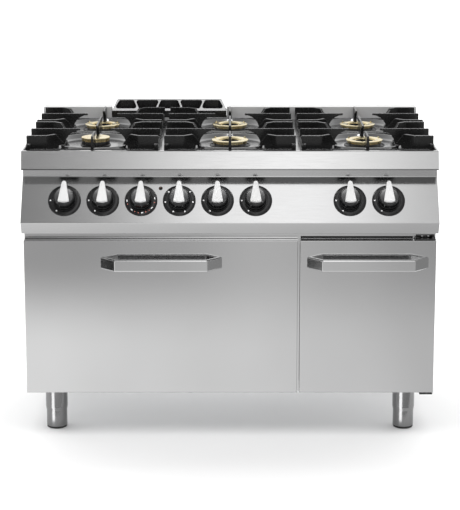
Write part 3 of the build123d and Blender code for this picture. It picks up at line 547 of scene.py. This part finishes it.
for knob_number in range(1, KNOB_COUNT + 1):
    make_knob(knob_number)
make_bezels()
make_igniter()

# ---------------------------------------------------------------- burners

BURNER_COUNT = 6
SMALL_BURNER_INDEX = 1
# Heights in millimetres: the floor that the burners stand on, and the foot of the cups under it.
BURNER_FLOOR = 854.0
CUP_FOOT = 800
# Share of each tooth's pitch that is slot.
SLOT_SHARE = 0.42
# How far the cap's seat lies below the CAD cap's underside, in millimetres.
SEAT_DROP = 0.3
# Profiles of (radius, rise) in millimetres. Bases rise from the burner floor, bands and caps from the seat.
SMALL_BURNER = {
    "base": [(26, 0), (45, 0), (45, 1.6), (43.8, 2.6), (42.2, 3.4), (41.6, 12.6), (40.8, 14), (26, 14)],
    "crown": (24, 37.5, 41),
    "crown_rise": 14,
    "teeth": 36,
    "band": [(24, -1.1), (41.2, -1.1), (41.2, 0.1), (24, 0.1)],
    "cap": ([(0.01, 0.3), (40.6, 0.3), (42.2, 1.1)] + arc(1.5, (41.0, 3.0), -10, 80, 5)
            + [(39.6, 4.4), (30, 4.5), (0.01, 4.5)]),
    "wall": 23.8,
}
LARGE_BURNER = {
    "base": [(30, 0), (60.3, 0), (60.4, 1.5), (58.6, 2.6), (55.4, 4.2), (53.2, 6.6), (52.4, 8), (30, 8)],
    "crown": (26, 46.5, 50.6),
    "crown_rise": 8,
    "teeth": 44,
    "band": [(26, -1.0), (50.9, -1.0), (50.9, 0.1), (26, 0.1)],
    "cap": ([(30.4, 0.3), (51.0, 0.3), (54.2, 1.2)] + arc(1.3, (53.6, 2.6), -20, 80, 5)
            + [(51.5, 4.2), (47, 4.5), (38, 4.4), (33.5, 3.2), (30.8, 1.6)]),
    "wall": 25.8,
}
JET_PROFILE = [(0.01, -1), (8.2, -1), (8.2, 3), (5, 3.6), (0.01, 3.6)]
# The three lugs on a large cap: outlines at foot and tip, their rise, and their places in degrees.
LUG_FOOT = [(46.5, -2.6), (53.4, -2.2), (53.4, 2.2), (46.5, 2.6)]
LUG_TIP = [(50.6, -1.1), (53.2, -1.0), (53.2, 1.0), (50.6, 1.1)]
LUG_RISES = (3.4, 8.0)
LUG_TURNS = (30, 150, 270)


def upright(x, y):
    """A place on the ground plane with its local Z upwards."""
    return Matrix.Translation(Vector((x, y, 0.0)))


def raised(profile, height):
    """A profile moved up by a height in millimetres."""
    return [(radius, height + rise) for radius, rise in profile]


def gear(mesh, place, inner, root, outer, low, high, teeth):
    """Ring with radial slots: teeth stand out from root to outer over a height range."""
    points = []
    for tooth in range(teeth):
        start = 360.0 * tooth / teeth
        width = 360.0 / teeth
        for share, radius in ((0, root), (SLOT_SHARE, root), (SLOT_SHARE + 0.02, outer), (0.98, outer)):
            turn = math.radians(start + share * width)
            points.append((radius * math.cos(turn), radius * math.sin(turn)))
    count = len(points)
    rings = []
    for height in (low, high):
        rings.append([mesh.verts.new(place @ (Vector((x, y, height)) * MM)) for x, y in points])
    inside = []
    for height in (low, high):
        ring = []
        for x, y in points:
            scale = inner / math.hypot(x, y)
            ring.append(mesh.verts.new(place @ (Vector((x * scale, y * scale, height)) * MM)))
        inside.append(ring)
    for step in range(count):
        after = (step + 1) % count
        mesh.faces.new((rings[0][step], rings[0][after], rings[1][after], rings[1][step]))
        mesh.faces.new((inside[0][after], inside[0][step], inside[1][step], inside[1][after]))
        mesh.faces.new((rings[1][step], rings[1][after], inside[1][after], inside[1][step]))
        mesh.faces.new((rings[0][after], rings[0][step], inside[0][step], inside[0][after]))
    return mesh


def make_burner(index):
    """Base, slotted crown, a near-black throat lining of painted shade, and cap of one burner, from the CAD
    cap's place.
    """
    low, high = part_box(f"burner_cap_{index}")
    centre = (low + high) / 2
    place = upright(centre.x, centre.y)
    seat = low.z / MM - SEAT_DROP
    floor = BURNER_FLOOR
    burner = SMALL_BURNER if index == SMALL_BURNER_INDEX else LARGE_BURNER
    lathe(raised(burner["base"], floor), 96, place, BASES)
    gear(CROWNS, place, *burner["crown"], floor + burner["crown_rise"], seat, burner["teeth"])
    lathe(raised(burner["band"], seat), 96, place, CROWNS)
    wall = burner["wall"]
    inner = [(8, floor + 0.4), (wall - 1.3, floor + 0.4), (wall, floor + 2), (wall, seat - 1.4),
             (wall - 2.4, seat - 1.0), (wall - 3.2, seat - 2.2), (16, floor + 2.2), (8, floor + 2)]
    lathe(inner, 64, place, THROATS)
    lathe(raised(JET_PROFILE, floor), 32, place, BASES)
    cup = [(0.01, CUP_FOOT), (24, CUP_FOOT), (25, CUP_FOOT + 2), (25, floor), (0.01, floor)]
    lathe(cup, 48, place, BASES)
    mesh = lathe(raised(burner["cap"], seat), 128, place)
    if burner is LARGE_BURNER:
        for turn in LUG_TURNS:
            spin = place @ Matrix.Rotation(math.radians(turn), 4, "Z")
            loft([[spin @ (Vector((x, y, seat + rise)) * MM) for x, y in outline]
                  for outline, rise in ((LUG_FOOT, LUG_RISES[0]), (LUG_TIP, LUG_RISES[1]))], mesh)
    cap = f"burner_cap_{index}"
    add_piece(f"burner_{index}_cap", mesh, "brass", cap, [cap])


BASES, CROWNS, THROATS = bmesh.new(), bmesh.new(), bmesh.new()
for burner_number in range(1, BURNER_COUNT + 1):
    make_burner(burner_number)
add_piece("burner_cast_bases", BASES, "cast_burner", ROOT, ["burner_bases"])
add_piece("burner_crowns", CROWNS, "brass", ROOT, ["flame_rings"])
# The throat lining is painted shade: a dark sheet inside each burner's hollow.
add_piece("burner_throats", THROATS, "throat_shade", ROOT)

# ---------------------------------------------------------------- legs and cupboard hinge

CORNERS = ("front_left", "front_right", "rear_left", "rear_right")
# Height of the top hinge bracket above the floor, in millimetres.
HINGE_Z = 609.5
# Corners and places in millimetres: X, depth behind the doors' fronts, and rise above that bracket.
HINGE_PLATE = ((542, 22.6, -0.5), (596, 24.9, 8.5))
HINGE_ARM = ((542, 10, -0.2), (552, 24.5, 2.2))
KNUCKLE_AT = (592, 8, 0)
HINGE_SCREWS_AT = ((560, 22.6, 4), (578, 22.6, 4))
KNUCKLE_PROFILE = [(0.01, -1), (5.6, -1), (5.6, 4), (4.8, 4.8), (0.01, 4.8)]
HINGE_SCREW_PROFILE = [(0.01, -0.5), (2.8, -0.5), (2.8, 0.5), (2.0, 1.2), (0.01, 1.4)]


def make_foot(corner):
    """Adjustable leg tube with a chamfered end on a rubber pad."""
    node = f"foot_{corner}"
    low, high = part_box(node)
    place = upright((low.x + high.x) / 2, (low.y + high.y) / 2)
    radius, top = (high.x - low.x) / 2 / MM, high.z / MM
    pad = [(0.01, 0), (radius - 3, 0), (radius - 1.2, 1.0), (radius - 0.7, 4.4), (radius - 1.6, 5.4),
           (0.01, 5.4)]
    tube = [(0.01, 5), (radius - 1.4, 5), (radius, 6.6), (radius, top - 1), (radius - 1, top), (0.01, top)]
    add_piece(f"{node}_tube", lathe(tube, 96, place), "shaded_steel_leg", node, [node])
    add_piece(f"{node}_pad", lathe(pad, 96, place), "pad", node)


def make_cupboard_hinge():
    """Upright plate, arm, knuckle and two screws above the cupboard door's top bracket."""
    bracket = Matrix.Translation(Vector((0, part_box("oven_door_skin")[0].y, HINGE_Z * MM)))
    plate = block(*HINGE_PLATE, 1.0, bracket)
    block(*HINGE_ARM, 0.8, bracket, plate)
    lathe(KNUCKLE_PROFILE, 48, bracket @ Matrix.Translation(Vector(KNUCKLE_AT) * MM), plate)
    add_piece("cupboard_hinge_plate", plate, "black_zinc", ROOT)
    heads = bmesh.new()
    facing = Matrix.Rotation(math.radians(90), 4, "X")
    for spot in HINGE_SCREWS_AT:
        lathe(HINGE_SCREW_PROFILE, 32, bracket @ Matrix.Translation(Vector(spot) * MM) @ facing, heads)
    add_piece("cupboard_hinge_screws", heads, "chrome", ROOT)


for corner_name in CORNERS:
    make_foot(corner_name)
make_cupboard_hinge()

# ---------------------------------------------------------------- rounded copies of cast and folded parts

# A grid's long fingers: half their width and where they start, in metres from the grid's middle, the
# height above which they are thinned, and the share of their width left there.
FINGER_HALF = 0.006
FINGER_START = 0.03
FINGER_TOP = 0.895
FINGER_TAPER = 0.62


def tapered_fingers(mesh):
    """Thins the top of the long straight fingers, which a casting's draft leaves narrower than their feet."""
    corners = [vertex.co for vertex in mesh.verts]
    middle = Vector([(min(c[i] for c in corners) + max(c[i] for c in corners)) / 2 for i in range(3)])
    for vertex in mesh.verts:
        offset = vertex.co - middle
        for across, along in ((0, 1), (1, 0)):
            near = abs(offset[across]) < FINGER_HALF and abs(offset[along]) > FINGER_START
            if near and vertex.co.z > FINGER_TOP:
                vertex.co[across] = middle[across] + offset[across] * FINGER_TAPER


for burner_number in range(1, BURNER_COUNT + 1):
    name = f"pan_support_{burner_number}"
    softened(name, 0.0013, "cast", name, shape=tapered_fingers)
softened("flue_grate", 0.0013, "cast", "flue_grate")
softened("hinge_brackets", 0.0006, "black_zinc", ROOT, 2)
softened("oven_door_handle", 0.0016, "steel_handle", "oven_door")
softened("cupboard_door_handle", 0.0016, "steel_handle", "cupboard_door")
softened("front_frame", 0.0007, "steel_front", ROOT, 2)

# ---------------------------------------------------------------- studio

FLOOR_HALF = 40.0
CAMERA_DISTANCE = 4.946
CAMERA_HEIGHT = 1.752
CAMERA_TILT = 11.52
CAMERA_LENS = 123.4
CAMERA_SHIFT = -0.12
# Light coming from the front, by the sideways part of its direction: a soft box a little right of centre.
FRONT_LIGHT = [(-1.0, 0.45), (-0.35, 0.3), (-0.13, 0.26), (-0.1, 0.32), (-0.07, 0.5), (-0.045, 0.86),
               (-0.02, 1.25), (0.01, 1.46), (0.045, 1.52), (0.07, 1.34), (0.09, 1.02), (0.12, 0.64),
               (0.3, 0.36), (1.0, 0.5)]
# Light from behind, by its height: white low down, dimmer overhead.
BACK_LIGHT = [(0.0, 1.0), (0.45, 1.0), (0.9, 0.4)]
# Where one gives way to the other, by the forward part of the direction.
FRONT_TO_BACK = (-0.3, 0.05)
# What steel sees of the floor in front, by X in metres: near the doors, and two metres and more away.
NEAR_FLOOR = [(-1.0, 1.2), (-0.65, 1.12), (-0.3, 1.0), (0.0, 0.96), (0.4, 0.86), (0.7, 0.72), (1.0, 0.66)]
FAR_FLOOR = [(-1.0, 0.5), (-0.7, 0.47), (-0.3, 0.52), (0.15, 0.68), (0.5, 0.6), (0.8, 0.48), (1.0, 0.42)]
# The floor right under the lip is duller still, so that it shows less there.
LIP_FLOOR = [(-1.0, 0.8), (-0.65, 0.74), (-0.3, 0.7), (0.0, 0.67), (0.4, 0.6), (0.7, 0.54), (1.0, 0.54)]
# Where along Y the floor card changes from near to far, and from the open floor to the part under the lip.
FAR_STARTS = (-1.2, -2.5)
LIP_STARTS = (-0.62, -0.5)
# Upright cards on both sides, in metres, and the left one's brightness by height.
CARD_X = 1.7
CARD_Y = (-0.5, 0.9)
CARD_TOP = 1.5
LEFT_CARD = [(0.0, 0.03), (0.3, 0.04), (0.6, 0.28), (1.5, 0.45)]
RIGHT_CARD_LEVEL = 0.28
# Each leg's strip light: which way round the leg, how far from its axis, and at what height.
STRIP_TURN = math.radians(28)
STRIP_REACH = 0.1
STRIP_HEIGHT = 0.065
# Finishes of the only pieces that the overhead box lights.
GLOSSY = ("cast", "brass", "copper", "black", "black_face", "steel_handle", "black_zinc")


def make_floor():
    """Large pale floor that the range stands on."""
    mesh = bmesh.new()
    signs = ((-1, -1), (1, -1), (1, 1), (-1, 1))
    mesh.faces.new([mesh.verts.new((x * FLOOR_HALF, y * FLOOR_HALF, 0)) for x, y in signs])
    data = bpy.data.meshes.new("floor")
    mesh.to_mesh(data)
    mesh.free()
    floor = bpy.data.objects.new("floor", data)
    bpy.context.scene.collection.objects.link(floor)
    data.materials.append(Finish("floor_paint", roughness=0.7, color=(0.86, 0.86, 0.86)).material)


def area_light(name, location, target, size, radiance, glossy=False, only=()):
    """A soft box of a size in metres and a brightness, mirrored only if glossy.

    It lights every object, or only the given ones.
    """
    data = bpy.data.lights.new(name, "AREA")
    data.shape = "RECTANGLE"
    data.size, data.size_y = size
    data.energy = math.pi * size[0] * size[1] * radiance
    light = bpy.data.objects.new(name, data)
    light.location = location
    light.rotation_mode = "QUATERNION"
    light.rotation_quaternion = (Vector(target) - Vector(location)).to_track_quat("-Z", "Y")
    light.visible_glossy = glossy
    light.visible_camera = False
    bpy.context.scene.collection.objects.link(light)
    if only:
        lit = bpy.data.collections.new(f"{name}_lit")
        for piece in only:
            lit.objects.link(piece)
        light.light_linking.receiver_collection = lit


def card(name, corners, shade):
    """A reflector that only glossy surfaces see. shade wires a brightness into its emission node."""
    mesh = bmesh.new()
    mesh.faces.new([mesh.verts.new(corner) for corner in corners])
    data = bpy.data.meshes.new(name)
    mesh.to_mesh(data)
    mesh.free()
    sheet = bpy.data.objects.new(name, data)
    bpy.context.scene.collection.objects.link(sheet)
    material = bpy.data.materials.new(name)
    material.use_nodes = True
    tree = material.node_tree
    tree.nodes.remove(tree.nodes["Principled BSDF"])
    glow = tree.nodes.new("ShaderNodeEmission")
    tree.links.new(glow.outputs[0], tree.nodes["Material Output"].inputs["Surface"])
    shade(tree, glow)
    data.materials.append(material)
    for ray in ("camera", "diffuse", "transmission", "volume_scatter", "shadow"):
        setattr(sheet, f"visible_{ray}", False)


def levels(tree, source, low, high, stops):
    """Brightness along a coordinate, eased between (coordinate, level) stops."""
    spread = tree.nodes.new("ShaderNodeMapRange")
    spread.inputs["From Min"].default_value = low
    spread.inputs["From Max"].default_value = high
    tree.links.new(source, spread.inputs["Value"])
    ramp = tree.nodes.new("ShaderNodeValToRGB")
    ramp.color_ramp.interpolation = "EASE"
    elements = ramp.color_ramp.elements
    while len(elements) > 1:
        elements.remove(elements[-1])
    for index, (place, level) in enumerate(stops):
        share = (place - low) / (high - low)
        stop = elements[0] if index == 0 else elements.new(share)
        stop.position = share
        stop.color = (level, level, level, 1)
    tree.links.new(spread.outputs["Result"], ramp.inputs["Fac"])
    return ramp.outputs["Color"]


def eased(tree, source, low, high):
    """A number that goes smoothly from nought at low to one at high."""
    spread = tree.nodes.new("ShaderNodeMapRange")
    spread.interpolation_type = "SMOOTHSTEP"
    spread.inputs["From Min"].default_value = low
    spread.inputs["From Max"].default_value = high
    tree.links.new(source, spread.inputs["Value"])
    return spread.outputs["Result"]


def place_parts(tree, space):
    """The X, Y and Z outputs of a coordinate."""
    parts = tree.nodes.new("ShaderNodeSeparateXYZ")
    tree.links.new(tree.nodes.new("ShaderNodeTexCoord").outputs[space], parts.inputs[0])
    return parts.outputs


def mixed(tree, factor, first, second):
    """A colour that goes from the first to the second with the factor."""
    mix = tree.nodes.new("ShaderNodeMix")
    mix.data_type = "RGBA"
    tree.links.new(factor, mix.inputs[0])
    for socket, value in ((mix.inputs[6], first), (mix.inputs[7], second)):
        tree.links.new(value, socket)
    return mix.outputs[2]


def floor_shade(tree, glow):
    """Bright near the doors and dimmer farther off, where only a middle band stays lit."""
    parts = place_parts(tree, "Object")
    near = levels(tree, parts["X"], -1.0, 1.0, NEAR_FLOOR)
    far = levels(tree, parts["X"], -1.0, 1.0, FAR_FLOOR)
    reach = eased(tree, parts["Y"], *FAR_STARTS)
    under = eased(tree, parts["Y"], *LIP_STARTS)
    lip = levels(tree, parts["X"], -1.0, 1.0, LIP_FLOOR)
    near = mixed(tree, under, near, lip)
    tree.links.new(mixed(tree, reach, near, far), glow.inputs["Color"])


def side_shade(level):
    """An even brightness for a side card."""
    def shade(tree, glow):
        glow.inputs["Color"].default_value = (level, level, level, 1)
    return shade


def left_shade(tree, glow):
    """Dark low down, where the handle ends look, and lighter above."""
    height = place_parts(tree, "Object")["Z"]
    tree.links.new(levels(tree, height, 0.0, CARD_TOP, LEFT_CARD), glow.inputs["Color"])


def make_world():
    """White behind the range and beside it, and in front a soft box between darker flags."""
    world = bpy.data.worlds.new("studio")
    bpy.context.scene.world = world
    world.use_nodes = True
    tree = world.node_tree
    parts = place_parts(tree, "Generated")
    front = levels(tree, parts["X"], -1.0, 1.0, FRONT_LIGHT)
    back = levels(tree, parts["Z"], 0.0, 1.0, BACK_LIGHT)
    blend = mixed(tree, eased(tree, parts["Y"], *FRONT_TO_BACK), front, back)
    tree.links.new(blend, tree.nodes["Background"].inputs["Color"])


def make_camera():
    """Long lens well above the hob, tilted down, centred on the range."""
    data = bpy.data.cameras.new("camera")
    data.lens = CAMERA_LENS
    data.sensor_width = 36.0
    data.shift_y = CAMERA_SHIFT
    data.clip_end = 100.0
    camera = bpy.data.objects.new("camera", data)
    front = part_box("oven_door_skin")[0].y
    camera.location = (0.0, front - CAMERA_DISTANCE, CAMERA_HEIGHT)
    camera.rotation_euler = (math.radians(90 - CAMERA_TILT), 0, 0)
    bpy.context.scene.collection.objects.link(camera)
    bpy.context.scene.camera = camera


make_floor()
make_world()
# Soft boxes: where each one is, what it faces, its size and its brightness.
area_light("ceiling_box", (-0.5, 13.0, 2.4), (-0.5, 13.0, 0), (16.0, 26.0), 1.6)
area_light("front_box", (-0.2, -1.4, 2.0), (-0.2, -1.4, 0), (3.6, 1.4), 2.6)
area_light("under_fill", (0, 0.02, 0.138), (0, 0.02, 0), (1.1, 0.62), 0.3)
meshes = [piece for piece in bpy.data.objects if piece.type == "MESH" and piece.data.materials]
glossy_pieces = [piece for piece in meshes if piece.data.materials[0].name in GLOSSY]
leg_pieces = [piece for piece in meshes if piece.data.materials[0].name == "shaded_steel_leg"]
strip_way = Vector((-math.sin(STRIP_TURN), -math.cos(STRIP_TURN), 0))
for corner_name in CORNERS:
    low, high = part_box(f"foot_{corner_name}")
    axis = Vector(((low.x + high.x) / 2, (low.y + high.y) / 2, STRIP_HEIGHT))
    area_light(f"leg_strip_{corner_name}", axis + strip_way * STRIP_REACH, axis, (0.045, 0.16), 3.2,
               glossy=True, only=leg_pieces)
area_light("top_box", (0, -0.45, 3.4), (0, -0.45, 0), (2.8, 0.65), 21, glossy=True, only=glossy_pieces)
grate = bpy.data.objects["flue_grate_soft"]
area_light("grate_box", (0, 0.35, 3.4), (0, 0.35, 0), (2.8, 1.0), 12, glossy=True, only=[grate])
card("floor_card", [(-4, -7, 0.003), (4, -7, 0.003), (4, -0.32, 0.003), (-4, -0.32, 0.003)], floor_shade)
for card_name, x, card_shade in (("left_card", -CARD_X, left_shade),
                                 ("right_card", CARD_X, side_shade(RIGHT_CARD_LEVEL))):
    near_y, far_y = CARD_Y
    card(card_name, [(x, near_y, 0), (x, far_y, 0), (x, far_y, CARD_TOP), (x, near_y, CARD_TOP)], card_shade)
make_camera()
bpy.context.scene.view_settings.view_transform = "Standard"
